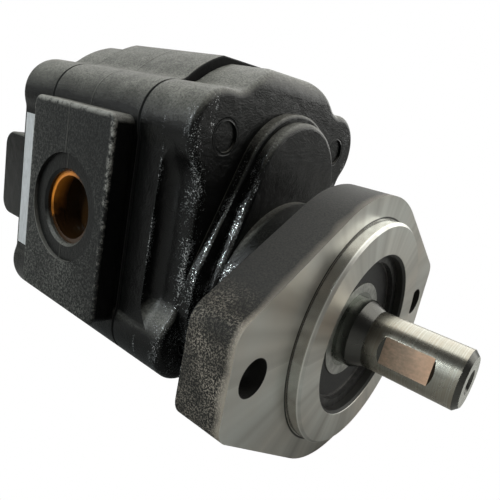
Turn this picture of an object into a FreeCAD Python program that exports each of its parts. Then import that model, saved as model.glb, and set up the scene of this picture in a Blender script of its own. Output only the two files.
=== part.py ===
import FreeCAD, Part
import math
import os

# Hydraulic gear motor, millimetres.
# +X runs along the shaft towards its free end, +Z is up.
# The origin is where the shaft axis meets the mounting face of the flange.

# Gears
module = 4.25
tooth_count = 12
pressure_angle = math.radians(27)
backlash = 0.16
tip_clearance = 0.1
gear_width = 57.0
root_factor = 1.2
flank_steps = 5
centre_distance = module * tooth_count
pitch_radius = centre_distance / 2
tip_radius = pitch_radius + module
root_radius = pitch_radius - root_factor * module
mid_height = centre_distance / 2

# Clearances
running_gap = 0.05
bolt_gap = 0.4

# Body sections, measured back from the flange face
flange_thickness = 20.5
plate_thickness = 4.0
housing_length = gear_width + 2 * (plate_thickness + running_gap)
cover_front = -55.0
cover_length = 31.0
base_thickness = 15.0
seam_front = cover_front - cover_length
seam_rear = seam_front - housing_length
rear_length = 31.0
rear_face = seam_rear - rear_length
gear_front = seam_front - plate_thickness - running_gap
gear_rear = gear_front - gear_width

# Outline of the body across the shaft
bolt_y = 44.7
bolt_z = 45.5
lobe_radius = 18.7
side_wall = 62.0
hump_radius = 57.0
hump_top = 79.0
cover_hump_radius = 53.0
cover_hump_top = 76.3
cover_top_rounding = 9.0
rear_hump_radius = 53.5
rear_hump_top = 76.6
recess_rounding = 6.0
recess_blend = 16.0
front_rounding = 3.0
blend_radius = 9.0
cover_blend = 12.0
web_drop = 0.6
seam_chamfer = 0.7
rear_rounding = 4.5
spare = 2.0

# Mounting flange with its pilot, two-bolt pattern
pilot_radius = 50.8
pilot_height = 6.0
pilot_chamfer = 1.2
bore_chamfer = 1.2
flange_bolt_spacing = 146.0
flange_bolt_radius = 7.15
flange_ear = 12.8
flange_half_width = flange_bolt_spacing / 2 + flange_ear
flange_rim = 10.2
flange_centre_radius = pilot_radius + flange_rim
flange_corner_radius = 9.0
flange_corner_height = 14.0

# Neck between the cover plate and the flange
step_front = -50.0
step_top_radius = 34.5
step_bolt_gap = 11.35
step_base_radius = flange_bolt_spacing / 2 - flange_bolt_radius - step_bolt_gap
recess_margin = 0.5
recess_wall = step_base_radius + recess_margin
dome_front = -44.5
dome_top_radius = 31.3
dome_ledge = 7.0
dome_base_radius = step_base_radius - dome_ledge
neck_setback = 14.5
neck_radius = flange_centre_radius - neck_setback
neck_blend = 7.0
dome_edge = 2.5
step_edge = 1.5

# Outboard ball bearing, 35 x 72 x 17
bearing_front = -1.0
bearing_width = 17.0
bearing_outer = 36.0
bearing_bore = 17.5
bearing_rear = bearing_front - bearing_width
shoulder_height = 4.2
ball_radius = 5.5
ball_count = 9
ball_gap = 0.05
ball_circle = (bearing_outer + bearing_bore) / 2
cage_wall = 1.6
cage_rim = 0.9
shield_inset = 0.6
shield_thickness = 1.2

# Snap ring in front of the bearing
ring_thickness = 2.5
ring_groove_depth = 1.5
ring_width = 5.2
ring_opening = 18.0
ring_direction = 205.0

# Shaft seal behind the bearing
seal_outer = 26.0
seal_length = 9.0
seal_wall = 1.2
seal_offset = 2.5
seal_front = bearing_rear - seal_offset
seal_rear = seal_front - seal_length
seal_shoulder = 23.0
seal_shoulder_length = 3.0
seal_cone_length = 3.0
lip_root_height = 2.0
lip_root_width = 1.6
lip_back_height = 3.0
lip_end_height = 1.5
lip_inset = 1.0
lip_edge_width = 0.6
spring_radius = 0.9
spring_height = 2.4
spring_inset = 3.0

# Shaft
journal_radius = 19.0
journal_reach = 21.0
collar_radius = 15.5
collar_end = 4.2
cone_end = 10.0
shaft_radius = 12.7
shaft_end = 50.0
shaft_chamfer = 2.0
flat_start = 16.3
flat_end = 39.4
flat_depth = 1.35
flat_ramp = 1.5
flat_angle = 171.0
seam_angle = 67.5
centre_hole_radius = 2.6
centre_hole_depth = 7.0

# Journal bushings
bushing_wall = 3.0
bushing_length = 22.0
bushing_outer = journal_radius + running_gap + bushing_wall
pocket_room = 3.0
pocket_depth = bushing_length + pocket_room
passage_gap = 1.0

# Cap screws, washers and dowels
screw_radius = 6.35
screw_head_width = 19.0
screw_head_height = 8.0
screw_recess = 1.0
washer_radius = 12.0
washer_thickness = 2.4
dowel_radius = 4.0
dowel_length = 16.0
dowel_y = 50.0

# Section seals
seal_width = 2.6
seal_depth = 2.0
seal_path_radius = tip_radius + 5.0

# Side ports
port_y = 73.5
port_block_margin = 1.95
port_block_length = housing_length - 2 * port_block_margin
port_block_half_height = 46.4
port_corner = 4.5
port_edge = 1.4
port_radius = 16.67
port_depth = 19.0
port_chamfer = 1.2
spotface_radius = 24.6
spotface_depth = 1.6
passage_radius = 13.0
port_middle = (seam_front + seam_rear) / 2
spotface_y = port_y - spotface_depth

# Port plug
plug_wall = 2.2
plug_recess = 2.6
plug_length = port_depth - spotface_depth - plug_recess - running_gap
plug_floor = 1.6

# Pad across the rear face
pad_thickness = 16.4
pad_half_height = 22.8
pad_corner = 8.0
pad_edge = 1.4

# Blank label on the rear cover
label_margin = 1.8
label_width = 26.0
label_inset = 0.5
label_thickness = 0.3

chamber_radius = tip_radius + tip_clearance
forward = FreeCAD.Vector(1, 0, 0)
sideways = FreeCAD.Vector(0, 1, 0)
gear_heights = {"drive": 0.0, "driven": centre_distance}
bolt_places = [(side * bolt_y, mid_height + level * bolt_z) for side in (-1, 1) for level in (-1, 1)]


def point(x, y, z):
    return FreeCAD.Vector(x, y, z)


def bar(radius, start, end, y=0.0, z=0.0):
    return Part.makeCylinder(radius, end - start, point(start, y, z), forward)


def tube(outer, inner, start, end, y=0.0, z=0.0):
    return bar(outer, start, end, y, z).cut(bar(inner, start, end, y, z))


def cross_bar(radius, y_start, y_end):
    # a cylinder along Y on the port axis
    return Part.makeCylinder(radius, y_end - y_start, point(port_middle, y_start, mid_height), sideways)


def cross_cone(radius_start, radius_end, y_start, y_end):
    base = point(port_middle, y_start, mid_height)
    return Part.makeCone(radius_start, radius_end, y_end - y_start, base, sideways)


def block(x_range, y_range, z_range):
    sizes = [high - low for low, high in (x_range, y_range, z_range)]
    return Part.makeBox(*sizes, point(x_range[0], y_range[0], z_range[0]))


def face_of(corners):
    return Part.Face(Part.makePolygon(corners + corners[:1]))


def turned(outline, z=0.0):
    # a closed outline of (x, radius) points turned about the axis at height z
    face = face_of([point(x, 0, z + radius) for x, radius in outline])
    return face.revolve(point(0, 0, z), forward, 360)


def disc(radius, x, y=0.0, z=0.0):
    return Part.Face(Part.Wire(Part.makeCircle(radius, point(x, y, z), forward)))


def panel(x, half_width, half_height, z=mid_height):
    sides = [(-1, -1), (1, -1), (1, 1), (-1, 1)]
    return face_of([point(x, side * half_width, z + level * half_height) for side, level in sides])


def join(shapes):
    return shapes[0].multiFuse(shapes[1:]).removeSplitter()


def edges_at(solid, x):
    return [edge for edge in solid.Edges
            if abs(edge.BoundBox.XMin - x) < 1e-4 and abs(edge.BoundBox.XMax - x) < 1e-4]


def rounded_end(solid, x, radius):
    return solid.makeFillet(radius, edges_at(solid, x))


def chamfered_end(solid, x):
    return solid.makeChamfer(seam_chamfer, edges_at(solid, x))


def export(name, shapes):
    solids = [solid for shape in shapes for solid in shape.Solids]
    node = solids[0] if len(solids) == 1 else Part.makeCompound(solids)
    node.exportStep(os.path.join("parts", name + ".step"))


def tangent_outline(x, base_radius, top_radius, base_z=0.0, top_z=centre_distance):
    # a lower and an upper circle joined by their outer tangent lines
    lean = math.asin((base_radius - top_radius) / (top_z - base_z))
    ends = {}
    for name, radius, z in (("base", base_radius, base_z), ("top", top_radius, top_z)):
        for side in (-1, 1):
            ends[name, side] = point(x, side * radius * math.cos(lean), z + radius * math.sin(lean))
    low = point(x, 0, base_z - base_radius)
    high = point(x, 0, top_z + top_radius)
    edges = [Part.Arc(ends["base", -1], low, ends["base", 1]).toShape(),
             Part.makeLine(ends["base", 1], ends["top", 1]),
             Part.Arc(ends["top", 1], high, ends["top", -1]).toShape(),
             Part.makeLine(ends["top", -1], ends["base", -1])]
    return Part.Face(Part.Wire(edges))


def crown(x, radius, top, level):
    # the part of a hump that stands past the bolt lobes, above or below the middle
    low = bolt_z / 2
    band = panel(x, radius, (top - low) / 2, mid_height + level * (top + low) / 2)
    return disc(radius, x, 0, mid_height + level * centre_distance / 2).common(band).Faces[0]


def body_outline(x, radius, top, waist, blend):
    # four bolt lobes with a web between them, the waist, and a hump over each gear
    parts = [disc(lobe_radius, x, y, z) for y, z in bolt_places]
    parts.append(panel(x, waist, bolt_z))
    parts.append(panel(x, bolt_y, bolt_z + lobe_radius - web_drop))
    parts.append(crown(x, radius, top, 1))
    parts.append(crown(x, radius, top, -1))
    outline = join(parts).Faces[0]
    return outline.makeOffset2D(blend).makeOffset2D(-blend)


def slab(outline, length):
    return outline.extrude(point(length, 0, 0))


def gear_flank():
    # one involute flank as (radius, angle) from root to tip, the angle from the tooth's middle
    base_radius = pitch_radius * math.cos(pressure_angle)
    half_pitch_angle = (math.pi * module / 2 - backlash / 2) / (2 * pitch_radius)
    involute_pitch = math.tan(pressure_angle) - pressure_angle
    flank = []
    for index in range(flank_steps + 1):
        radius = base_radius + (tip_radius - base_radius) * index / flank_steps
        roll = math.acos(base_radius / radius)
        flank.append((radius, half_pitch_angle + involute_pitch - (math.tan(roll) - roll)))
    return flank


def gear_blank(z, first_tooth):
    # the toothed length, with a tooth's middle at the angle first_tooth from +Z
    flank = gear_flank()
    base_angle = flank[0][1]
    pitch = 2 * math.pi / tooth_count

    def place(radius, angle):
        return point(gear_rear, radius * math.sin(angle), z + radius * math.cos(angle))

    edges = []
    for tooth in range(tooth_count):
        middle = first_tooth + tooth * pitch
        left = [place(radius, middle - angle) for radius, angle in flank]
        right = [place(radius, middle + angle) for radius, angle in flank]
        left_root = place(root_radius, middle - base_angle)
        right_root = place(root_radius, middle + base_angle)
        next_root = place(root_radius, middle + pitch - base_angle)
        left_curve = Part.BSplineCurve()
        left_curve.interpolate(left)
        right_curve = Part.BSplineCurve()
        right_curve.interpolate(right)
        edges.append(Part.makeLine(left_root, left[0]))
        edges.append(left_curve.toShape())
        edges.append(Part.Arc(left[-1], place(tip_radius, middle), right[-1]).toShape())
        edges.append(right_curve.toShape())
        edges.append(Part.makeLine(right[0], right_root))
        edges.append(Part.Arc(right_root, place(root_radius, middle + pitch / 2), next_root).toShape())
    wire = Part.Wire(Part.__sortEdges__(edges))
    return slab(Part.Face(wire), gear_width)


def flange_outline(x):
    # a centre arc, tangent lines out to the ears and straight ear ends
    corner_y = flange_half_width - flange_corner_radius
    reach = math.hypot(corner_y, flange_corner_height)
    lean = math.acos((flange_centre_radius - flange_corner_radius) / reach)
    slope = math.atan2(flange_corner_height, corner_y) + lean
    middle = slope / 2

    def on_centre(side, level, angle):
        return point(x, side * flange_centre_radius * math.cos(angle),
                     level * flange_centre_radius * math.sin(angle))

    def on_corner(side, level, angle):
        y = side * (corner_y + flange_corner_radius * math.cos(angle))
        return point(x, y, level * (flange_corner_height + flange_corner_radius * math.sin(angle)))

    edges = []
    for level in (-1, 1):
        top = point(x, 0, level * flange_centre_radius)
        edges.append(Part.Arc(on_centre(-1, level, slope), top, on_centre(1, level, slope)).toShape())
        for side in (-1, 1):
            edges.append(Part.makeLine(on_centre(side, level, slope), on_corner(side, level, slope)))
            edges.append(Part.Arc(on_corner(side, level, slope), on_corner(side, level, middle),
                                  on_corner(side, level, 0)).toShape())
    for side in (-1, 1):
        edges.append(Part.makeLine(on_corner(side, -1, 0), on_corner(side, 1, 0)))
    return Part.Face(Part.Wire(Part.__sortEdges__(edges)))


def flange():
    # the plate and the pilot
    plate = slab(flange_outline(-flange_thickness), flange_thickness)
    pilot = turned([(-spare, 0), (pilot_height, 0), (pilot_height, pilot_radius - pilot_chamfer),
                    (pilot_height - pilot_chamfer, pilot_radius), (-spare, pilot_radius)])
    return plate, pilot


def rounded_front():
    # the block that bounds the cover, with its front edges rounded at the top and at the bottom
    reach = cover_hump_top
    rounding = cover_top_rounding
    back = seam_front - spare
    front = cover_front
    width = 2 * (side_wall + lobe_radius)
    corner = rounding * (1 - math.sqrt(0.5))

    def place(x, level):
        return point(x, -width / 2, mid_height + level)

    edges = [Part.makeLine(place(back, -reach), place(back, reach)),
             Part.makeLine(place(front, -reach + rounding), place(front, reach - rounding))]
    for side in (-1, 1):
        edges.append(Part.makeLine(place(back, side * reach), place(front - rounding, side * reach)))
        edges.append(Part.Arc(place(front - rounding, side * reach),
                              place(front - corner, side * (reach - corner)),
                              place(front, side * (reach - rounding))).toShape())
    profile = Part.Face(Part.Wire(Part.__sortEdges__(edges)))
    return profile.extrude(point(0, width, 0))


def cover_pocket(side):
    # the hollow beside the neck, between two bolt lobes, rounded where it meets the base plate
    start = seam_front + base_thickness
    waist = body_outline(start, cover_hump_radius, cover_hump_top + spare, recess_wall, recess_blend)
    inner = side * recess_wall / 2
    outer = side * (side_wall + lobe_radius)
    low = mid_height - bolt_z
    high = mid_height + bolt_z
    window = face_of([point(start, inner, low), point(start, outer, low),
                      point(start, outer, high), point(start, inner, high)])
    pocket = slab(window.cut(waist).Faces[0], cover_front + spare - start)
    inner_edges = [edge for edge in edges_at(pocket, start)
                   if max(abs(edge.BoundBox.YMin), abs(edge.BoundBox.YMax)) < side_wall + lobe_radius / 2]
    return pocket.makeFillet(recess_rounding, inner_edges)


def cover_body():
    # bolt lobes and humps as on the housing, cut to a rounded front and a hollow on each side
    outline = body_outline(seam_front, cover_hump_radius, cover_hump_top + spare, side_wall, cover_blend)
    solid = chamfered_end(slab(outline, cover_length + spare), seam_front)
    solid = solid.common(rounded_front()).cut([cover_pocket(side) for side in (-1, 1)])
    waist_edges = [edge for edge in edges_at(solid, cover_front)
                   if edge.BoundBox.YLength < 1e-3 and edge.BoundBox.ZLength > spare]
    return solid.makeFillet(front_rounding, waist_edges)


def neck_steps():
    # two steps that follow both gear bores
    start = seam_front + base_thickness - spare
    step = slab(tangent_outline(start, step_base_radius, step_top_radius), step_front - start)
    step = rounded_end(step, step_front, step_edge)
    dome = slab(tangent_outline(start, dome_base_radius, dome_top_radius), dome_front - start)
    dome = rounded_end(dome, dome_front, dome_edge)
    return [step, dome]


def flanged_neck():
    # the round neck with its fillet into the flange, and the pilot in front
    plate, pilot = flange()
    solid = join([bar(neck_radius, cover_front - spare, -flange_thickness), plate])
    root = [edge for edge in edges_at(solid, -flange_thickness)
            if abs(edge.BoundBox.YLength - 2 * neck_radius) < 1e-3]
    return [solid.makeFillet(neck_blend, root), pilot]


def cover_casting():
    return join([cover_body()] + neck_steps() + flanged_neck())


def shaft_end_cover():
    casting = cover_casting()
    front = pilot_height
    ring_front = bearing_front + ring_thickness + running_gap
    groove = bearing_outer + ring_groove_depth
    shoulder_rear = seal_rear - seal_shoulder_length
    passage = journal_radius + passage_gap
    bushing_front = seam_front + bushing_length
    # the bearing bore with its groove, the seal bore, the shaft passage and the bushing bore
    bore = turned([(seam_front, 0), (front, 0),
                   (front, bearing_outer + bore_chamfer), (front - bore_chamfer, bearing_outer),
                   (ring_front, bearing_outer), (ring_front, groove),
                   (bearing_front, groove), (bearing_front, bearing_outer),
                   (bearing_rear, bearing_outer), (bearing_rear, seal_outer),
                   (seal_rear, seal_outer), (seal_rear, seal_shoulder),
                   (shoulder_rear, seal_shoulder), (shoulder_rear - seal_cone_length, passage),
                   (bushing_front, passage), (bushing_front, bushing_outer),
                   (seam_front, bushing_outer)])
    tools = [bore, bar(bushing_outer, seam_front, seam_front + pocket_depth, 0, centre_distance)]
    for side in (-1, 1):
        tools.append(bar(flange_bolt_radius, -flange_thickness, 0, side * flange_bolt_spacing / 2, 0))
        tools.append(bar(dowel_radius, seam_front, seam_front + dowel_length / 2, side * dowel_y, mid_height))
    for y, z in bolt_places:
        tools.append(bar(screw_radius, seam_front, cover_front + screw_recess, y, z))
    return casting.cut(tools)


def port_blocks():
    half = port_block_length / 2
    solid = block((port_middle - half, port_middle + half), (-port_y, port_y),
                  (mid_height - port_block_half_height, mid_height + port_block_half_height))
    corners = [edge for edge in solid.Edges if edge.BoundBox.YLength > port_y]
    solid = solid.makeFillet(port_corner, corners)
    rims = [edge for edge in solid.Edges if edge.BoundBox.YLength < 1e-4]
    return solid.makeFillet(port_edge, rims)


def port_tools(side):
    # spotface, chamfered port and passage, cut from one side
    rings = [cross_bar(spotface_radius, spotface_y, port_y),
             cross_bar(port_radius, port_y - port_depth, port_y),
             cross_cone(port_radius, port_radius + port_chamfer, spotface_y - port_chamfer, spotface_y),
             cross_bar(passage_radius, 0, port_y)]
    if side < 0:
        rings = [ring.mirror(point(0, 0, 0), sideways) for ring in rings]
    return rings


def seal_outline(x, offset):
    radius = seal_path_radius + offset
    return tangent_outline(x, radius, radius)


def seal_ring(start, thickness):
    half = seal_width / 2
    return slab(seal_outline(start, half), thickness).cut(slab(seal_outline(start, -half), thickness))


def gear_housing():
    solid = slab(body_outline(seam_rear, hump_radius, hump_top, side_wall, blend_radius), housing_length)
    for seam in (seam_rear, seam_front):
        solid = chamfered_end(solid, seam)
    solid = join([solid, port_blocks()])
    tools = [bar(chamber_radius, seam_rear, seam_front, 0, z) for z in gear_heights.values()]
    tools.append(seal_ring(seam_rear, seal_depth))
    tools.append(seal_ring(seam_front - seal_depth, seal_depth))
    for side in (-1, 1):
        tools.extend(port_tools(side))
        for seam in (seam_rear, seam_front):
            tools.append(bar(dowel_radius, seam - dowel_length / 2, seam + dowel_length / 2,
                             side * dowel_y, mid_height))
    for y, z in bolt_places:
        tools.append(bar(screw_radius + bolt_gap, seam_rear, seam_front, y, z))
    return solid.cut(tools)


def rear_cover():
    outline = body_outline(rear_face, rear_hump_radius, rear_hump_top, side_wall, blend_radius)
    solid = slab(outline, rear_length)
    solid = chamfered_end(solid, seam_rear)
    solid = rounded_end(solid, rear_face, rear_rounding)
    back = rear_face - pad_thickness
    pad = block((back, seam_rear - rear_rounding), (-side_wall, side_wall),
                (mid_height - pad_half_height, mid_height + pad_half_height))
    long_edges = [edge for edge in edges_at(pad, back) if edge.BoundBox.YLength > side_wall]
    pad = pad.makeFillet(pad_corner, long_edges)
    ends = [edge for edge in edges_at(pad, back) if edge.BoundBox.YLength < pad_edge]
    pad = pad.makeFillet(pad_edge, ends)
    solid = join([solid, pad])
    tools = [bar(bushing_outer, seam_rear - pocket_depth, seam_rear, 0, z) for z in gear_heights.values()]
    for y, z in bolt_places:
        tools.append(bar(screw_radius + bolt_gap, rear_face, seam_rear, y, z))
    for side in (-1, 1):
        tools.append(bar(dowel_radius, seam_rear - dowel_length / 2, seam_rear, side * dowel_y, mid_height))
    return solid.cut(tools)


def drive_shaft():
    gear = gear_blank(0.0, 0.0)
    back = gear_rear - plate_thickness - running_gap - journal_reach
    body = turned([(back, 0), (shaft_end, 0), (shaft_end, shaft_radius - shaft_chamfer),
                   (shaft_end - shaft_chamfer, shaft_radius), (cone_end, shaft_radius),
                   (collar_end, collar_radius), (bearing_front, collar_radius),
                   (bearing_front, bearing_bore), (bearing_rear, bearing_bore),
                   (bearing_rear, journal_radius), (back, journal_radius)])
    # the seam of the turned faces is kept off the flat
    body.rotate(point(0, 0, 0), forward, flat_angle - seam_angle - 90)
    level = shaft_radius - flat_depth
    slope = flat_ramp / flat_depth * (flat_depth + spare)
    profile = face_of([point(flat_start + flat_ramp, -shaft_radius, level),
                       point(flat_end - flat_ramp, -shaft_radius, level),
                       point(flat_end - flat_ramp + slope, -shaft_radius, shaft_radius + spare),
                       point(flat_start + flat_ramp - slope, -shaft_radius, shaft_radius + spare)])
    flat = profile.extrude(point(0, 2 * shaft_radius, 0))
    flat.rotate(point(0, 0, 0), forward, flat_angle - 90)
    drill = bar(centre_hole_radius, shaft_end - centre_hole_depth, shaft_end)
    funnel = Part.makeCone(centre_hole_radius, 2 * centre_hole_radius, centre_hole_radius,
                           point(shaft_end - centre_hole_radius, 0, 0), forward)
    return join([gear, body]).cut([flat, drill, funnel])


def driven_gear():
    gear = gear_blank(centre_distance, math.pi + math.pi / tooth_count)
    reach = plate_thickness + running_gap + journal_reach
    body = bar(journal_radius, gear_rear - reach, gear_front + reach, 0, centre_distance)
    return join([gear, body])


def thrust_plate(start):
    radius = chamber_radius - running_gap
    solid = join([bar(radius, start, start + plate_thickness, 0, z) for z in gear_heights.values()])
    bores = [bar(journal_radius + 2 * running_gap, start, start + plate_thickness, 0, z)
             for z in gear_heights.values()]
    return solid.cut(bores)


def bushing(start, z):
    return tube(bushing_outer, journal_radius + running_gap, start, start + bushing_length, 0, z)


def ball_track(radius_gap):
    ring = Part.makeTorus(ball_circle, ball_radius + radius_gap,
                          point(bearing_front - bearing_width / 2, 0, 0), forward)
    return ring


def bearing_races():
    inner = tube(bearing_bore + shoulder_height, bearing_bore, bearing_rear, bearing_front)
    outer = tube(bearing_outer, bearing_outer - shoulder_height, bearing_rear, bearing_front)
    track = ball_track(ball_gap)
    return outer.cut(track), inner.cut(track)


def ball_directions():
    angles = [2 * math.pi * index / ball_count for index in range(ball_count)]
    return [point(0, math.cos(angle), math.sin(angle)) for angle in angles]


def balls():
    middle = point(bearing_front - bearing_width / 2, 0, 0)
    return [Part.makeSphere(ball_radius, middle + direction * ball_circle) for direction in ball_directions()]


def bearing_cage():
    # a band with one round pocket for each ball
    middle = bearing_front - bearing_width / 2
    pocket = ball_radius + ball_gap
    reach = pocket + cage_rim
    band = tube(ball_circle + cage_wall / 2, ball_circle - cage_wall / 2, middle - reach, middle + reach)
    holes = []
    for direction in ball_directions():
        start = point(middle, 0, 0) + direction * (ball_circle - 2 * cage_wall)
        holes.append(Part.makeCylinder(pocket, 4 * cage_wall, start, direction))
    return band.cut(holes)


def shield(start):
    inner = bearing_bore + shoulder_height + running_gap
    outer = bearing_outer - shoulder_height
    return tube(outer, inner, start, start + shield_thickness)


def snap_ring():
    outer = bearing_outer + ring_groove_depth
    ring = tube(outer, outer - ring_width, bearing_front, bearing_front + ring_thickness)
    half = math.radians(ring_opening / 2)
    reach = 2 * outer
    wedge = face_of([point(bearing_front, 0, 0),
                     point(bearing_front, reach * math.cos(-half), reach * math.sin(-half)),
                     point(bearing_front, reach * math.cos(half), reach * math.sin(half))])
    opening = slab(wedge, ring_thickness)
    opening.rotate(point(0, 0, 0), forward, ring_direction)
    return ring.cut(opening)


def seal_case():
    # a stepped cup pressed into the seal bore
    inner = seal_outer - seal_wall
    opening = journal_radius + lip_back_height
    return turned([(seal_rear, seal_outer), (seal_front, seal_outer), (seal_front, inner),
                   (seal_rear + seal_wall, inner), (seal_rear + seal_wall, opening),
                   (seal_rear, opening)])


def seal_spring():
    return Part.makeTorus(journal_radius + spring_height, spring_radius,
                          point(seal_front - spring_inset, 0, 0), forward)


def seal_lip():
    # a web on the case, and the lip under its garter spring
    wall = seal_outer - seal_wall
    edge = journal_radius + running_gap
    lip_x = seal_front - spring_inset
    root = seal_rear + seal_wall
    web = root + lip_root_width
    end = seal_front - lip_inset
    body = turned([(root, edge + lip_root_height), (root, wall), (web, wall), (web, edge + lip_back_height),
                   (end, edge + lip_back_height), (end, edge + lip_end_height),
                   (lip_x, edge), (lip_x - lip_edge_width, edge), (web, edge + lip_end_height)])
    return body.cut(seal_spring())


def cap_screws():
    head_back = rear_face - washer_thickness - screw_head_height
    head = screw_head_width / math.sqrt(3)
    placed = []
    for y, z in bolt_places:
        corners = [point(head_back, y + head * math.cos(math.pi * side / 3),
                         z + head * math.sin(math.pi * side / 3)) for side in range(6)]
        hexagon = slab(face_of(corners), screw_head_height)
        shank = bar(screw_radius, head_back, cover_front - screw_recess, y, z)
        placed.append(join([hexagon, shank]))
    return placed


def washers():
    return [tube(washer_radius, screw_radius + bolt_gap, rear_face - washer_thickness, rear_face, y, z)
            for y, z in bolt_places]


def dowels():
    return [bar(dowel_radius, seam - dowel_length / 2, seam + dowel_length / 2, side * dowel_y, mid_height)
            for seam in (seam_front, seam_rear) for side in (-1, 1)]


def port_plug():
    # a hollow cup pressed into the near port
    rim = -(spotface_y - plug_recess)
    body = cross_bar(port_radius, rim, rim + plug_length)
    hollow = cross_bar(port_radius - plug_wall, rim, rim + plug_length - plug_floor)
    return body.cut(hollow)


def label():
    # on the flat of the rear cover's side, clear of the lobes above and below it
    swing = lobe_radius + blend_radius
    flat_half = bolt_z - math.sqrt(swing ** 2 - (side_wall + blend_radius - bolt_y) ** 2)
    half = flat_half - label_margin
    start = rear_face + rear_rounding + label_inset
    return block((start, start + label_width), (-side_wall - label_thickness, -side_wall),
                 (mid_height - half, mid_height + half))


def main():
    os.makedirs("parts", exist_ok=True)
    outer_race, inner_race = bearing_races()
    shield_front = bearing_front - shield_inset - shield_thickness
    shield_rear = bearing_rear + shield_inset
    export("shaft_end_cover", [shaft_end_cover()])
    export("gear_housing", [gear_housing()])
    export("rear_cover", [rear_cover()])
    export("drive_shaft", [drive_shaft()])
    export("driven_gear", [driven_gear()])
    export("front_thrust_plate", [thrust_plate(seam_front - plate_thickness)])
    export("rear_thrust_plate", [thrust_plate(seam_rear)])
    export("front_section_seal", [seal_ring(seam_front - seal_depth, seal_depth)])
    export("rear_section_seal", [seal_ring(seam_rear, seal_depth)])
    for name, z in gear_heights.items():
        export("front_" + name + "_bushing", [bushing(seam_front, z)])
        export("rear_" + name + "_bushing", [bushing(seam_rear - bushing_length, z)])
    export("bearing_outer_race", [outer_race])
    export("bearing_inner_race", [inner_race])
    export("bearing_balls", balls())
    export("bearing_cage", [bearing_cage()])
    export("bearing_shields", [shield(shield_front), shield(shield_rear)])
    export("snap_ring", [snap_ring()])
    export("shaft_seal_case", [seal_case()])
    export("shaft_seal_lip", [seal_lip()])
    export("shaft_seal_spring", [seal_spring()])
    export("cap_screws", cap_screws())
    export("screw_washers", washers())
    export("dowel_pins", dowels())
    export("port_plug", [port_plug()])
    export("label_plate", [label()])


main()
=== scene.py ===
import math

import bpy
from mathutils import Matrix, Vector


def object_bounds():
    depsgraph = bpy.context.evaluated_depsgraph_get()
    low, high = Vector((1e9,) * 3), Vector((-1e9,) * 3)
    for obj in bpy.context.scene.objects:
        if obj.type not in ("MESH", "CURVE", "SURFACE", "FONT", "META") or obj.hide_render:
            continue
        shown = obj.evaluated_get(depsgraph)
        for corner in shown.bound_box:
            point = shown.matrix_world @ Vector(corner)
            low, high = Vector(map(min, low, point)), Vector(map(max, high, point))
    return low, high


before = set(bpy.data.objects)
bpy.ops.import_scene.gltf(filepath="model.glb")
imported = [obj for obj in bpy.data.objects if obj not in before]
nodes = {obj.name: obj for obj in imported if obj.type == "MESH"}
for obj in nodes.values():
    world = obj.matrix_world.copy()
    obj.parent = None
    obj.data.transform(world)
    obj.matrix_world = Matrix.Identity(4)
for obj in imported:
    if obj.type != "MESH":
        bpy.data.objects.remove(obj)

# Hydraulic gear motor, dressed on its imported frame, in metres.
# +X runs along the shaft towards its free end, +Z is up, and the plugged port faces -Y.

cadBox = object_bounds()
print("stage: frame loaded,", len(nodes), "nodes")


# Small builders for node materials.

def newMaterial(name):
    material = bpy.data.materials.new(name)
    material.use_nodes = True
    tree = material.node_tree
    return material, tree, tree.nodes["Principled BSDF"]


def setSocket(tree, socket, value):
    # a socket takes another socket's output, or else a plain number, vector or colour
    if isinstance(value, bpy.types.NodeSocket):
        tree.links.new(value, socket)
    elif socket.type == "RGBA":
        socket.default_value = (*value, 1.0)
    else:
        socket.default_value = value


def setSockets(tree, node, inputs):
    for key, value in inputs.items():
        setSocket(tree, node.inputs[key], value)


def addNode(tree, kind, inputs, **settings):
    node = tree.nodes.new(kind)
    for key, value in settings.items():
        setattr(node, key, value)
    setSockets(tree, node, inputs)
    return node


def objectPoint(tree):
    return addNode(tree, "ShaderNodeTexCoord", {}).outputs["Object"]


def objectNormal(tree):
    return addNode(tree, "ShaderNodeTexCoord", {}).outputs["Normal"]


def split(tree, vector):
    return addNode(tree, "ShaderNodeSeparateXYZ", {"Vector": vector}).outputs


def stretched(tree, point, scale):
    return addNode(tree, "ShaderNodeVectorMath", {0: point, 1: scale}, operation="MULTIPLY").outputs[0]


def alongDirection(tree, vector, direction):
    node = addNode(tree, "ShaderNodeVectorMath", {0: vector, 1: direction}, operation="DOT_PRODUCT")
    return node.outputs["Value"]


def noise(tree, point, scale, detail=3.0, roughness=0.5):
    inputs = {"Vector": point, "Scale": scale, "Detail": detail, "Roughness": roughness}
    return addNode(tree, "ShaderNodeTexNoise", inputs).outputs["Fac"]


def lineNoise(tree, value, scale, detail=2.0, roughness=0.5):
    inputs = {"W": value, "Scale": scale, "Detail": detail, "Roughness": roughness}
    return addNode(tree, "ShaderNodeTexNoise", inputs, noise_dimensions="1D").outputs["Fac"]


def arith(tree, operation, first, second=0.0, clamp=False):
    inputs = {0: first, 1: second}
    return addNode(tree, "ShaderNodeMath", inputs, operation=operation, use_clamp=clamp).outputs[0]


def times(tree, first, *others):
    for value in others:
        first = arith(tree, "MULTIPLY", first, value)
    return first


def plus(tree, first, second, clamp=False):
    return arith(tree, "ADD", first, second, clamp)


def minus(tree, first, second):
    return arith(tree, "SUBTRACT", first, second)


def sizeOf(tree, value):
    return arith(tree, "ABSOLUTE", value)


def larger(tree, first, second):
    return arith(tree, "MAXIMUM", first, second)


def above(tree, value, limit):
    return arith(tree, "GREATER_THAN", value, limit)


def below(tree, value, limit):
    return arith(tree, "LESS_THAN", value, limit)


def diagonal(tree, first, second):
    square = plus(tree, times(tree, first, first), times(tree, second, second))
    return arith(tree, "SQRT", square)


def ramp(tree, value, low, high, start=0.0, end=1.0):
    inputs = {"Value": value, "From Min": low, "From Max": high, "To Min": start, "To Max": end}
    return addNode(tree, "ShaderNodeMapRange", inputs).outputs[0]


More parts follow.
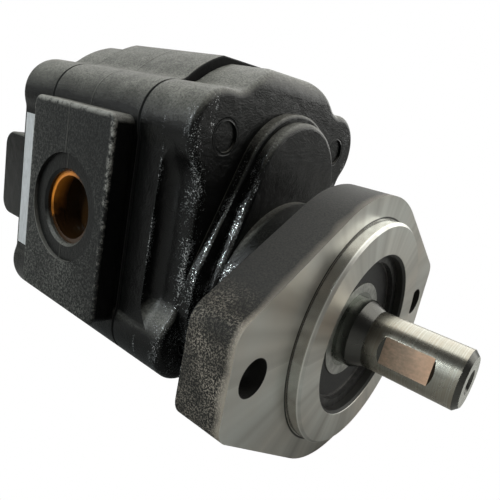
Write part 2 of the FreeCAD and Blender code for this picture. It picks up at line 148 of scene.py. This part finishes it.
def near(tree, value, middle, inner, outer):
    # 1 where the value is within inner of the middle, falling to 0 at outer
    return ramp(tree, sizeOf(tree, minus(tree, value, middle)), inner, outer, 1.0, 0.0)


def mixColour(tree, factor, first, second):
    return addNode(tree, "ShaderNodeMix", {0: factor, 6: first, 7: second}, data_type="RGBA").outputs[2]


def mixValue(tree, factor, first, second):
    return addNode(tree, "ShaderNodeMix", {0: factor, 2: first, 3: second}).outputs[0]


def mixVector(tree, factor, first, second):
    return addNode(tree, "ShaderNodeMix", {0: factor, 4: first, 5: second}, data_type="VECTOR").outputs[1]


def bump(tree, height, strength, distance, normal=None):
    inputs = {"Height": height, "Strength": strength, "Distance": distance}
    if normal is not None:
        inputs["Normal"] = normal
    return addNode(tree, "ShaderNodeBump", inputs).outputs["Normal"]


# In the settings below a noise is its scale, detail and roughness, and a bump its strength and depth.
# A width is the half width of a line and the end of its fade. Other pairs and fours are ramps: where
# the ramp starts and ends, and then its two values where they aren't 0 and 1.

# Painted glints: sparse bright metallic flecks on the cover's front edges, foot edge, waist and step flanks.

glintSettings = {
    "colour": (0.95, 0.98, 1.00),
    "edgeForward": (0.10, 0.30),
    "edgeFrom": (-0.0640, -0.0620),
    "edgeSideways": (0.30, 0.60),
    "footX": -0.0710,
    "footWidth": (0.0002, 0.0007),
    "footSide": (0.0600, 0.0610),
    "footShare": 0.9,
    "waistFrom": (-0.0650, -0.0560),
    "waistSide": (0.0480, 0.0535),
    "waistShare": 0.75,
    "flankFrom": (-0.0545, -0.0530),
    "flankSideways": (0.80, 0.90),
    "flankShare": 0.95,
    "fewerUpward": (0.45, 0.7, 1.0, 0.15),
    "fewerHigh": (0.035, 0.070, 1.0, 0.40),
    "fineNoise": (1700.0, 2.0, 0.8),
    "streakStretch": (1.0, 1.0, 0.5),
    "streakNoise": (160.0, 3.0),
    "streaks": (0.35, 0.65, -0.10, 0.06),
    "towardsEdge": (0.0, 1.0, -0.10, 0.0),
    "glintCut": (0.57, 0.63),
    "within": (0.05, 0.3),
}


def paintedGlints(tree, point, parts, normal):
    sideways = sizeOf(tree, normal[1])
    side = sizeOf(tree, parts[1])
    edge = times(tree, ramp(tree, normal[0], *glintSettings["edgeForward"]),
                 ramp(tree, parts[0], *glintSettings["edgeFrom"]), ramp(tree, sideways, *glintSettings["edgeSideways"]))
    foot = times(tree, near(tree, parts[0], glintSettings["footX"], *glintSettings["footWidth"]),
                 ramp(tree, side, *glintSettings["footSide"]), glintSettings["footShare"])
    waist = times(tree, ramp(tree, parts[0], *glintSettings["waistFrom"]),
                  ramp(tree, side, *glintSettings["waistSide"]), glintSettings["waistShare"])
    flank = times(tree, ramp(tree, parts[0], *glintSettings["flankFrom"]),
                  ramp(tree, sideways, *glintSettings["flankSideways"]), glintSettings["flankShare"])
    for place in (foot, waist, flank):
        edge = larger(tree, edge, place)
    edge = times(tree, edge, ramp(tree, normal[2], *glintSettings["fewerUpward"]),
                 ramp(tree, parts[2], *glintSettings["fewerHigh"]))
    streaks = noise(tree, stretched(tree, point, glintSettings["streakStretch"]), *glintSettings["streakNoise"])
    level = plus(tree, noise(tree, point, *glintSettings["fineNoise"]), ramp(tree, streaks, *glintSettings["streaks"]))
    level = plus(tree, level, ramp(tree, edge, *glintSettings["towardsEdge"]))
    return times(tree, ramp(tree, level, *glintSettings["glintCut"]), ramp(tree, edge, *glintSettings["within"]))


# Black paint over rough castings, clean and glossy on the sides, dull and pale on what faces up: dust and
# painted sheen.

paint = {
    "clean": (0.0030, 0.0031, 0.0029),
    "dust": (0.300, 0.293, 0.258),
    "gloss": 0.34,
    "roughClean": 0.20,
    "roughDusty": 0.50,
    "roughSeam": 0.85,
    "grainNoise": (1150.0, 3.0, 0.7),
    "lumpNoise": (150.0, 3.0),
    "patchNoise": (26.0, 4.0, 0.6),
    "upward": (0.10, 0.78),
    "patches": (0.35, 0.7, -0.2, 0.03),
    "darkerNeck": (-0.0450, -0.0400, 1.0, 0.06),
    "flankFrom": (-0.0550, -0.0540),
    "flankSideways": (0.75, 0.90),
    "flankClean": (0.0, 1.0, 1.0, 0.1),
    "grainSpeckle": (0.38, 0.60, 0.40, 1.0),
    "lumpSpeckle": (0.35, 0.65, 0.75, 1.0),
    "frontSeamX": -0.0860,
    "rearSeamX": -0.1511,
    "seamWidth": (0.0004, 0.0011),
    "lumpBump": (0.4, 0.0010),
    "grainStrength": (0.6, 0.8),
    "grainDepth": 0.0003,
}


def paintLayers(tree, point, base):
    parts = split(tree, point)
    normal = split(tree, objectNormal(tree))
    grain = noise(tree, point, *paint["grainNoise"])
    lumps = noise(tree, point, *paint["lumpNoise"])
    patches = noise(tree, point, *paint["patchNoise"])
    # pale where it faces up: partly dust, partly painted sheen of the light from above
    dustAndSheen = plus(tree, ramp(tree, normal[2], *paint["upward"]), ramp(tree, patches, *paint["patches"]), True)
    flank = times(tree, ramp(tree, parts[0], *paint["flankFrom"]),
                  ramp(tree, sizeOf(tree, normal[1]), *paint["flankSideways"]))
    # kept darker on the neck behind the flange and on the steps' flanks
    dustAndSheen = times(tree, dustAndSheen, ramp(tree, parts[0], *paint["darkerNeck"]),
                  ramp(tree, flank, *paint["flankClean"]))
    speckled = times(tree, dustAndSheen, ramp(tree, grain, *paint["grainSpeckle"]),
                     ramp(tree, lumps, *paint["lumpSpeckle"]))
    colour = mixColour(tree, speckled, base, paint["dust"])
    rough = mixValue(tree, dustAndSheen, paint["roughClean"], paint["roughDusty"])
    seam = larger(tree, near(tree, parts[0], paint["frontSeamX"], *paint["seamWidth"]),
                  near(tree, parts[0], paint["rearSeamX"], *paint["seamWidth"]))
    colour = mixColour(tree, seam, colour, paint["clean"])
    rough = mixValue(tree, seam, rough, paint["roughSeam"])
    # painted glints, mixed into the colour and made metallic
    glintMask = paintedGlints(tree, point, parts, normal)
    colour = mixColour(tree, glintMask, colour, glintSettings["colour"])
    relief = bump(tree, lumps, *paint["lumpBump"])
    relief = bump(tree, grain, mixValue(tree, dustAndSheen, *paint["grainStrength"]), paint["grainDepth"], relief)
    return colour, rough, relief, glintMask


def castPaint():
    material, tree, shader = newMaterial("blackCastPaint")
    colour, rough, relief, glintMask = paintLayers(tree, objectPoint(tree), paint["clean"])
    setSockets(tree, shader, {
        "Base Color": colour,
        "Metallic": glintMask,
        "Specular IOR Level": paint["gloss"],
        "Roughness": rough,
        "Normal": relief,
    })
    return material


# The housing's paint, with a thin speckled film, partly painted bounce light, and worn edges on its two port
# faces.

block = {
    "filmAndBounce": (0.120, 0.120, 0.108),
    "worn": (0.34, 0.33, 0.30),
    "rough": 0.50,
    "middleX": -0.11855,
    "middleZ": 0.0255,
    "halfX": 0.0306,
    "halfZ": 0.0464,
    "faceFrom": (0.0715, 0.0727),
    "filmNoise": (45.0, 3.0),
    "filmPatches": (0.3, 0.7, 0.5, 1.0),
    "filmHeight": (-0.020, 0.060, 1.6, 0.5),
    "filmLength": (-0.115, -0.090, 0.85, 0.30),
    "filmInSpot": (0.0, 1.0, 0.2, 1.0),
    "speckNoise": (900.0, 3.0, 0.8),
    "specks": (0.48, 0.60, 0.0, 1.25),
    "partingX": -0.1195,
    "partingNoise": (60.0, 2.0),
    "partingWander": 0.0010,
    "partingWidth": (0.0002, 0.0007),
    "partingShare": 0.14,
    "partingBump": (0.8, 0.0007),
    "rim": (-0.0026, -0.0008),
    "chipNoise": (420.0, 4.0, 0.75),
    "chipsAtTop": (0.0690, 0.0705, 0.0, 0.10),
    "chipsHigh": (-0.015, 0.050, -0.12, 0.03),
    "chips": (0.48, 0.64),
    "spotRadius": 0.0246,
    "spotWidth": (0.0001, 0.0004),
    "spotLow": (-0.034, -0.016, 0.8, 0.0),
}


def housingPaint():
    material, tree, shader = newMaterial("blackHousingPaint")
    point = objectPoint(tree)
    parts = split(tree, point)
    offX = minus(tree, parts[0], block["middleX"])
    offZ = minus(tree, parts[2], block["middleZ"])
    fromPort = diagonal(tree, offX, offZ)
    onFace = ramp(tree, sizeOf(tree, parts[1]), *block["faceFrom"])

    # the film, partly dust and partly painted floor bounce, thins towards the top and the front, and inside
    # the spotface
    filmAndBounce = times(tree, onFace, ramp(tree, noise(tree, point, *block["filmNoise"]), *block["filmPatches"]),
                 ramp(tree, parts[2], *block["filmHeight"]), ramp(tree, parts[0], *block["filmLength"]),
                 ramp(tree, above(tree, fromPort, block["spotRadius"]), *block["filmInSpot"]),
                 ramp(tree, noise(tree, point, *block["speckNoise"]), *block["specks"]))
    base = mixColour(tree, filmAndBounce, paint["clean"], block["filmAndBounce"])
    colour, rough, relief, glintMask = paintLayers(tree, point, base)

    # the raised line left where the two halves of the mould met
    wander = times(tree, noise(tree, point, *block["partingNoise"]), block["partingWander"])
    ridge = near(tree, plus(tree, parts[0], wander), block["partingX"], *block["partingWidth"])
    relief = bump(tree, ridge, *block["partingBump"], relief)
    colour = mixColour(tree, times(tree, ridge, block["partingShare"]), colour, block["worn"])

    # the chipped rim of the port faces, most along the top
    rim = larger(tree, minus(tree, sizeOf(tree, offX), block["halfX"]),
                 minus(tree, sizeOf(tree, offZ), block["halfZ"]))
    level = plus(tree, ramp(tree, parts[2], *block["chipsAtTop"]), ramp(tree, parts[2], *block["chipsHigh"]))
    level = plus(tree, noise(tree, point, *block["chipNoise"]), level)
    chips = times(tree, ramp(tree, rim, *block["rim"]), onFace, ramp(tree, level, *block["chips"]))
    colour = mixColour(tree, chips, colour, block["worn"])

    # the thin bright line along the spotface's lower edge
    line = times(tree, near(tree, fromPort, block["spotRadius"], *block["spotWidth"]),
                 ramp(tree, plus(tree, offX, offZ), *block["spotLow"]), onFace)
    colour = mixColour(tree, line, colour, block["worn"])

    setSockets(tree, shader, {
        "Base Color": colour,
        "Metallic": glintMask,
        "Specular IOR Level": paint["gloss"],
        "Roughness": mixValue(tree, onFace, rough, block["rough"]),
        "Normal": relief,
    })
    return material


# The shaft-end cover: painted behind its flange, rough bare iron round the flange, turned in front.

screwEnds = {
    "sideY": 0.0447,
    "middleZ": 0.0255,
    "offZ": 0.0455,
    "radius": 0.0070,
    "width": (0.0003, 0.0007),
    "bump": (1.0, -0.0008),
}

iron = {
    "cast": (0.020, 0.019, 0.017),
    "castPale": (0.40, 0.355, 0.295),
    "castTop": (0.036, 0.036, 0.035),
    "turned": (0.76, 0.77, 0.73),
    "turnedWarm": (0.70, 0.635, 0.56),
    "turnedShade": (0.46, 0.445, 0.41),
    "edgeHighlight": (0.85, 0.84, 0.78),
    "holeDark": (0.036, 0.035, 0.032),
    "metalCast": 0.35,
    "metalTurned": 0.95,
    "metalHole": 0.4,
    "roughCast": 0.62,
    "roughTurned": (0.3, 0.7, 0.30, 0.42),
    "roughWall": 0.20,
    "roughHole": 0.45,
    "flangeBack": -0.0204,
    "faceX": 0.0002,
    "pilotFront": 0.0048,
    "frontWidth": (0.0001, 0.0005),
    "rootRadius": 0.0515,
    "rootWidth": (0.0002, 0.0006),
    "boltY": 0.0730,
    "boltRadius": 0.0073,
    "boreRadius": 0.0370,
    "speckleNoise": (1400.0, 3.0, 0.8),
    "blotchNoise": (70.0, 3.0),
    "borderWander": 0.005,
    "border": (-0.0010, 0.0022),
    "earFrom": (0.070, 0.080),
    "earSpeckle": (0.49, 0.58),
    "earBlotch": (0.36, 0.64, 0.15, 1.0),
    "topSpeckle": (0.35, 0.66),
    "topShare": 0.08,
    "topBorder": 0.4,
    "castStrength": (0.35, 0.9),
    "castDepth": 0.0003,
    "ringNoise": (2600.0, 2.0),
    "ringBump": (0.25, 0.0001),
    "swirlNoise": (28.0, 3.0),
    "swirl": (0.35, 0.75),
    "fanNoise": (2.2, 3.0, 0.6),
    "sheenFan": (0.35, 0.70),
    "forward": (0.25, 0.45),
}


def screwEndRings(tree, parts):
    # the shallow groove round the end of each long screw
    offY = minus(tree, sizeOf(tree, parts[1]), screwEnds["sideY"])
    offZ = minus(tree, sizeOf(tree, minus(tree, parts[2], screwEnds["middleZ"])), screwEnds["offZ"])
    return near(tree, diagonal(tree, offY, offZ), screwEnds["radius"], *screwEnds["width"])


def castIron(tree, point, parts):
    # dark with pale specks on the two ears, plainer above and below, with a ragged pale border in front
    speckle = noise(tree, point, *iron["speckleNoise"])
    blotch = noise(tree, point, *iron["blotchNoise"])
    border = ramp(tree, plus(tree, parts[0], times(tree, blotch, iron["borderWander"])), *iron["border"])
    earMix = times(tree, ramp(tree, speckle, *iron["earSpeckle"]), ramp(tree, blotch, *iron["earBlotch"]))
    earColour = mixColour(tree, plus(tree, earMix, border, True), iron["cast"], iron["castPale"])
    topMix = times(tree, ramp(tree, speckle, *iron["topSpeckle"]), iron["topShare"])
    topMix = plus(tree, topMix, times(tree, border, iron["topBorder"]), True)
    topColour = mixColour(tree, topMix, iron["castTop"], iron["castPale"])
    ear = ramp(tree, sizeOf(tree, parts[1]), *iron["earFrom"])
    relief = bump(tree, speckle, mixValue(tree, ear, *iron["castStrength"]), iron["castDepth"])
    return mixColour(tree, ear, topColour, earColour), relief


def turnedIron(tree, parts, radius, swirl):
    # fine rings about the shaft's axis under a painted fan of reflection, lighter and darker by angle
    sheenFan = lineNoise(tree, arith(tree, "ARCTAN2", parts[2], parts[1]), *iron["fanNoise"])
    colour = mixColour(tree, ramp(tree, swirl, *iron["swirl"]), iron["turned"], iron["turnedWarm"])
    colour = mixColour(tree, ramp(tree, sheenFan, *iron["sheenFan"]), colour, iron["turnedShade"])
    # painted shade: a thin dark line round the pilot's root
    rootShade = times(tree, near(tree, radius, iron["rootRadius"], *iron["rootWidth"]),
                 below(tree, parts[0], iron["faceX"]))
    colour = mixColour(tree, rootShade, colour, iron["cast"])
    # painted highlight: a thin bright line along the pilot's front edge
    front = near(tree, parts[0], iron["pilotFront"], *iron["frontWidth"])
    colour = mixColour(tree, front, colour, iron["edgeHighlight"])
    return colour, bump(tree, lineNoise(tree, radius, *iron["ringNoise"]), *iron["ringBump"])


def coverMaterial():
    material, tree, shader = newMaterial("paintedAndMachinedCover")
    point = objectPoint(tree)
    parts = split(tree, point)
    facing = split(tree, objectNormal(tree))[0]
    radius = diagonal(tree, parts[1], parts[2])
    swirl = noise(tree, point, *iron["swirlNoise"])

    paintColour, paintRough, paintRelief, glintMask = paintLayers(tree, point, paint["clean"])
    rings = screwEndRings(tree, parts)
    paintColour = mixColour(tree, rings, paintColour, paint["clean"])
    paintRelief = bump(tree, rings, *screwEnds["bump"], paintRelief)
    castColour, castRelief = castIron(tree, point, parts)
    turnedColour, turnedRelief = turnedIron(tree, parts, radius, swirl)

    onFlange = above(tree, parts[0], iron["flangeBack"])
    pilot = above(tree, parts[0], iron["faceX"])
    turned = larger(tree, ramp(tree, facing, *iron["forward"]), pilot)
    wall = times(tree, pilot, ramp(tree, facing, *iron["forward"], 1.0, 0.0))
    fromBolt = diagonal(tree, minus(tree, sizeOf(tree, parts[1]), iron["boltY"]), parts[2])
    shadedHole = larger(tree, below(tree, radius, iron["boreRadius"]), below(tree, fromBolt, iron["boltRadius"]))

    bare = mixColour(tree, turned, castColour, turnedColour)
    # painted shade: dark inside the bore and the bolt holes
    bare = mixColour(tree, shadedHole, bare, iron["holeDark"])
    metal = mixValue(tree, turned, iron["metalCast"], iron["metalTurned"])
    metal = mixValue(tree, shadedHole, metal, iron["metalHole"])
    rough = mixValue(tree, wall, ramp(tree, swirl, *iron["roughTurned"]), iron["roughWall"])
    rough = mixValue(tree, turned, iron["roughCast"], rough)
    rough = mixValue(tree, shadedHole, rough, iron["roughHole"])
    relief = mixVector(tree, turned, castRelief, turnedRelief)
    setSockets(tree, shader, {
        "Base Color": mixColour(tree, onFlange, paintColour, bare),
        "Metallic": mixValue(tree, onFlange, glintMask, metal),
        "Specular IOR Level": paint["gloss"],
        "Roughness": mixValue(tree, onFlange, paintRough, rough),
        "Normal": mixVector(tree, onFlange, paintRelief, relief),
    })
    return material


# The shaft: finely turned steel with a duller, copper-toned milled flat.

steel = {
    "colour": (0.395, 0.385, 0.335),
    "shoulder": (0.42, 0.37, 0.30),
    "line": (0.475, 0.465, 0.410),
    "collarShade": (0.24, 0.25, 0.225),
    "chamferShade": (0.11, 0.108, 0.10),
    "end": (0.92, 0.92, 0.86),
    "flat": (0.72, 0.53, 0.40),
    "flatDark": (0.50, 0.38, 0.29),
    "copper": (0.86, 0.52, 0.34),
    "rough": (0.3, 0.7, 0.23, 0.31),
    "roughFlat": 0.48,
    "lineNoise": (1500.0, 2.0),
    "lines": (0.45, 0.65),
    "lineBump": (0.05, 0.00005),
    "smudgeNoise": (90.0, 4.0, 0.6),
    "smudges": (0.35, 0.7),
    "collarEnd": (0.0055, 0.0061, 1.0, 0.0),
    "slantFrom": (0.25, 0.35),
    "slantTo": (0.90, 0.96, 1.0, 0.0),
    "endFacing": (0.96, 0.99),
    "endX": 0.040,
    "flatAngle": math.radians(171.0),
    "flatFacing": 0.995,
    "flatDepth": 0.0116,
    "millStretch": (1.0, 1.0, 1.6),
    "millNoise": (420.0, 4.0, 0.6),
    "mill": (0.35, 0.65),
    "millBump": (0.3, 0.0001),
    "copperFrom": (0.026, 0.040, 0.0, 0.6),
}


def shaftMaterial():
    material, tree, shader = newMaterial("groundShaftSteel")
    point = objectPoint(tree)
    parts = split(tree, point)
    normal = objectNormal(tree)
    lines = lineNoise(tree, parts[0], *steel["lineNoise"])
    smudge = noise(tree, point, *steel["smudgeNoise"])
    along = sizeOf(tree, split(tree, normal)[0])

    colour = mixColour(tree, ramp(tree, smudge, *steel["smudges"]), steel["colour"], steel["shoulder"])
    colour = mixColour(tree, ramp(tree, lines, *steel["lines"]), colour, steel["line"])
    # painted shade: the collar darker where it sits in the bore
    colour = mixColour(tree, ramp(tree, parts[0], *steel["collarEnd"]), colour, steel["collarShade"])
    # painted shade: slanted faces darker than the rest of the steel
    shadedSlope = times(tree, ramp(tree, along, *steel["slantFrom"]), ramp(tree, along, *steel["slantTo"]))
    colour = mixColour(tree, shadedSlope, colour, steel["chamferShade"])
    endFace = times(tree, ramp(tree, along, *steel["endFacing"]), above(tree, parts[0], steel["endX"]))
    colour = mixColour(tree, endFace, colour, steel["end"])

    outward = (0.0, math.cos(steel["flatAngle"]), math.sin(steel["flatAngle"]))
    inFlat = times(tree, above(tree, alongDirection(tree, normal, outward), steel["flatFacing"]),
                   below(tree, alongDirection(tree, point, outward), steel["flatDepth"]))
    mill = noise(tree, stretched(tree, point, steel["millStretch"]), *steel["millNoise"])
    flatColour = mixColour(tree, ramp(tree, mill, *steel["mill"]), steel["flat"], steel["flatDark"])
    flatColour = mixColour(tree, ramp(tree, parts[0], *steel["copperFrom"]), flatColour, steel["copper"])
    relief = bump(tree, lines, *steel["lineBump"])
    setSockets(tree, shader, {
        "Base Color": mixColour(tree, inFlat, colour, flatColour),
        "Metallic": 1.0,
        "Roughness": mixValue(tree, inFlat, ramp(tree, smudge, *steel["rough"]), steel["roughFlat"]),
        "Normal": bump(tree, times(tree, mill, inFlat), *steel["millBump"], relief),
    })
    return material


# Plain metals of the small and hidden pieces, each with its colour and roughness.

metals = {
    "darkRingSteel": ((0.13, 0.128, 0.125), 0.40),
    "bearingRaceSteel": ((0.56, 0.56, 0.53), 0.42),
    "pressedSteel": ((0.30, 0.29, 0.28), 0.38),
    "thrustBronze": ((0.50, 0.34, 0.16), 0.34),
}

metalWear = {
    "noise": (400.0, 3.0),
    "worn": (0.35, 0.65),
    "darker": 0.7,
    "roughFrom": (0.3, 0.7),
    "smoother": 0.05,
    "rougher": 0.08,
    "bump": (0.15, 0.0001),
}


def plainMetal(name):
    material, tree, shader = newMaterial(name)
    colour, rough = metals[name]
    wear = noise(tree, objectPoint(tree), *metalWear["noise"])
    darker = tuple(part * metalWear["darker"] for part in colour)
    lowest, highest = rough - metalWear["smoother"], rough + metalWear["rougher"]
    setSockets(tree, shader, {
        "Base Color": mixColour(tree, ramp(tree, wear, *metalWear["worn"]), colour, darker),
        "Metallic": 1.0,
        "Roughness": ramp(tree, wear, *metalWear["roughFrom"], lowest, highest),
        "Normal": bump(tree, wear, *metalWear["bump"]),
    })
    return material


# Dark rubber of the shields and seals.

rubber = {
    "colour": (0.026, 0.026, 0.027),
    "pale": (0.044, 0.043, 0.042),
    "rough": 0.5,
    "noise": (700.0, 3.0),
    "grain": (0.3, 0.7),
    "bump": (0.2, 0.0001),
}


def darkRubber():
    material, tree, shader = newMaterial("darkRubber")
    grain = noise(tree, objectPoint(tree), *rubber["noise"])
    setSockets(tree, shader, {
        "Base Color": mixColour(tree, ramp(tree, grain, *rubber["grain"]), rubber["colour"], rubber["pale"]),
        "Roughness": rubber["rough"],
        "Normal": bump(tree, grain, *rubber["bump"]),
    })
    return material


# Amber plug with a painted glow at its upper rear rim and painted shade towards its floor, with fine moulded
# rings inside.

plug = {
    "lit": (1.00, 0.34, 0.045),
    "shaded": (0.050, 0.022, 0.008),
    "floorShade": (0.034, 0.016, 0.005),
    "rough": 0.22,
    "transmission": 0.08,
    "middleX": -0.11855,
    "middleZ": 0.0255,
    "slope": 45.0,
    "litFrom": (0.75, 1.30),
    "shadeDepth": (-0.0693, -0.0615),
    "cloudNoise": (150.0, 2.0),
    "cloudDepth": 0.002,
    "ringPitch": 2600.0,
    "ringBump": (0.15, 0.0002),
}


def plugMaterial():
    material, tree, shader = newMaterial("amberPlug")
    point = objectPoint(tree)
    parts = split(tree, point)
    cloud = noise(tree, point, *plug["cloudNoise"])
    rearward = times(tree, minus(tree, parts[0], plug["middleX"]), -plug["slope"])
    upward = times(tree, minus(tree, parts[2], plug["middleZ"]), plug["slope"])
    level = plus(tree, plus(tree, rearward, upward), cloud)
    # painted light: lit amber towards the upper rear, shaded amber elsewhere
    colour = mixColour(tree, ramp(tree, level, *plug["litFrom"]), plug["shaded"], plug["lit"])
    # painted shade towards the floor
    shadeDepth = ramp(tree, plus(tree, parts[1], times(tree, cloud, plug["cloudDepth"])), *plug["shadeDepth"])
    rings = arith(tree, "SINE", times(tree, parts[1], plug["ringPitch"]))
    setSockets(tree, shader, {
        "Base Color": mixColour(tree, shadeDepth, colour, plug["floorShade"]),
        "Transmission Weight": plug["transmission"],
        "Roughness": plug["rough"],
        "Normal": bump(tree, rings, *plug["ringBump"]),
    })
    return material


# Blank pale label.

label = {
    "colour": (0.62, 0.63, 0.64),
    "scuffed": (0.45, 0.455, 0.46),
    "stretch": (3.0, 1.0, 1.0),
    "noise": (160.0, 4.0, 0.6),
    "scuffs": (0.4, 0.75),
    "rough": (0.3, 0.7, 0.35, 0.5),
    "bump": (0.1, 0.0001),
}


def labelMaterial():
    material, tree, shader = newMaterial("paleLabel")
    scuff = noise(tree, stretched(tree, objectPoint(tree), label["stretch"]), *label["noise"])
    setSockets(tree, shader, {
        "Base Color": mixColour(tree, ramp(tree, scuff, *label["scuffs"]), label["colour"], label["scuffed"]),
        "Roughness": ramp(tree, scuff, *label["rough"]),
        "Normal": bump(tree, scuff, *label["bump"]),
    })
    return material


def dress():
    cast = castPaint()
    housing = housingPaint()
    dark, race, pressed, bronze = [plainMetal(name) for name in metals]
    seals = darkRubber()
    shaft = shaftMaterial()
    coats = {
        "shaft_end_cover": coverMaterial(),
        "gear_housing": housing, "rear_cover": cast,
        "drive_shaft": shaft, "driven_gear": race,
        "front_thrust_plate": bronze, "rear_thrust_plate": bronze,
        "bearing_outer_race": pressed, "bearing_inner_race": race, "bearing_balls": race,
        "bearing_cage": pressed, "bearing_shields": seals, "snap_ring": dark,
        "shaft_seal_case": pressed, "shaft_seal_lip": seals, "shaft_seal_spring": pressed,
        "front_section_seal": seals, "rear_section_seal": seals,
        "cap_screws": cast, "screw_washers": cast, "dowel_pins": race,
        "port_plug": plugMaterial(), "label_plate": labelMaterial(),
    }
    for name, node in nodes.items():
        for slot in node.material_slots:
            slot.material = coats.get(name, pressed)
    print("stage: materials assigned")


# Camera at the photograph's viewpoint.

view = {
    "place": (0.07666, -0.19364, 0.08115),
    "right": (0.76044823, 0.62054263, 0.19142972),
    "up": (-0.31187805, 0.09042254, 0.94580963),
    "back": (0.56960563, -0.77894198, 0.26229528),
    "focalPixels": 487.4,
    "imagePixels": 500.0,
    "sensorWidth": 36.0,
    "clipStart": 0.005,
}


def placeCamera():
    data = bpy.data.cameras.new("photoCamera")
    camera = bpy.data.objects.new("photoCamera", data)
    bpy.context.scene.collection.objects.link(camera)
    rows = [[view[name][axis] for name in ("right", "up", "back", "place")] for axis in range(3)]
    camera.matrix_world = Matrix(rows + [[0, 0, 0, 1]])
    data.sensor_width = view["sensorWidth"]
    data.lens = view["focalPixels"] / view["imagePixels"] * view["sensorWidth"]
    data.clip_start = view["clipStart"]
    bpy.context.scene.camera = camera
    print("stage: camera placed")


# Floor, sky and lamps. The camera sees the floor and the sky as plain white.

studio = {
    "floorSize": 6.0,
    "floorColour": (0.36, 0.36, 0.35),
    "floorRough": 0.9,
    "white": (1.0, 1.0, 1.0),
    "whiteStrength": 1.0,
    "skyColour": (0.95, 0.97, 0.94),
    "skyLevel": (0.05, 0.55, 0.30, 0.06),
}


def seenAsWhite(tree, output, lit, white):
    # the camera's own rays meet the white shader, and all others the lit one
    setSockets(tree, white, {"Color": studio["white"], "Strength": studio["whiteStrength"]})
    path = addNode(tree, "ShaderNodeLightPath", {})
    inputs = {0: path.outputs["Is Camera Ray"], 1: lit.outputs[0], 2: white.outputs[0]}
    blend = addNode(tree, "ShaderNodeMixShader", inputs)
    setSockets(tree, tree.nodes[output], {"Surface": blend.outputs[0]})


def layFloor():
    low = cadBox[0][2]
    half = studio["floorSize"] / 2
    mesh = bpy.data.meshes.new("floor")
    corners = [(-half, -half, low), (half, -half, low), (half, half, low), (-half, half, low)]
    mesh.from_pydata(corners, [], [(0, 1, 2, 3)])
    floor = bpy.data.objects.new("floor", mesh)
    bpy.context.scene.collection.objects.link(floor)
    material, tree, shader = newMaterial("whiteFloor")
    setSockets(tree, shader, {"Base Color": studio["floorColour"], "Roughness": studio["floorRough"]})
    seenAsWhite(tree, "Material Output", shader, addNode(tree, "ShaderNodeEmission", {}))
    mesh.materials.append(material)


def lightSky():
    # brighter at the horizon than overhead
    world = bpy.data.worlds.new("studioSky")
    bpy.context.scene.world = world
    world.use_nodes = True
    tree = world.node_tree
    height = split(tree, addNode(tree, "ShaderNodeTexCoord", {}).outputs["Generated"])[2]
    level = ramp(tree, height, *studio["skyLevel"])
    sky = addNode(tree, "ShaderNodeBackground", {"Color": studio["skyColour"], "Strength": level})
    seenAsWhite(tree, "World Output", sky, tree.nodes["Background"])


lamps = {
    "overhead": {"place": (0.10, 0.90, 1.00), "aim": (-0.06, 0.0, 0.02), "size": (2.6, 2.2), "watts": 32.0,
                 "colour": (1.0, 1.0, 0.96)},
    "back": {"place": (-0.80, 0.41, 0.56), "aim": (-0.06, 0.0, 0.05), "size": (0.90, 0.50), "watts": 1.6,
             "colour": (1.0, 1.0, 0.97)},
    "window": {"place": (-0.345, -0.813, 0.469), "aim": (0.0, 0.0, 0.0), "size": (0.08, 0.64), "watts": 4.2,
               "colour": (0.90, 0.98, 1.0)},
    "soft": {"place": (-0.60, -0.75, 0.45), "aim": (-0.04, 0.0, 0.03), "size": (0.60, 0.60), "watts": 1.3,
             "colour": (0.95, 0.99, 1.0)},
}


def hangLamps():
    for name, lamp in lamps.items():
        data = bpy.data.lights.new(name, "AREA")
        data.shape = "RECTANGLE"
        data.size, data.size_y = lamp["size"]
        data.energy = lamp["watts"]
        data.color = lamp["colour"]
        light = bpy.data.objects.new(name, data)
        light.location = lamp["place"]
        aim = Vector(lamp["aim"]) - Vector(lamp["place"])
        light.rotation_euler = aim.to_track_quat("-Z", "Y").to_euler()
        bpy.context.scene.collection.objects.link(light)
    bpy.context.scene.view_settings.view_transform = "Standard"
    print("stage: lights hung")


dress()
placeCamera()
layFloor()
lightSky()
hangLamps()
print("stage: scene finished")
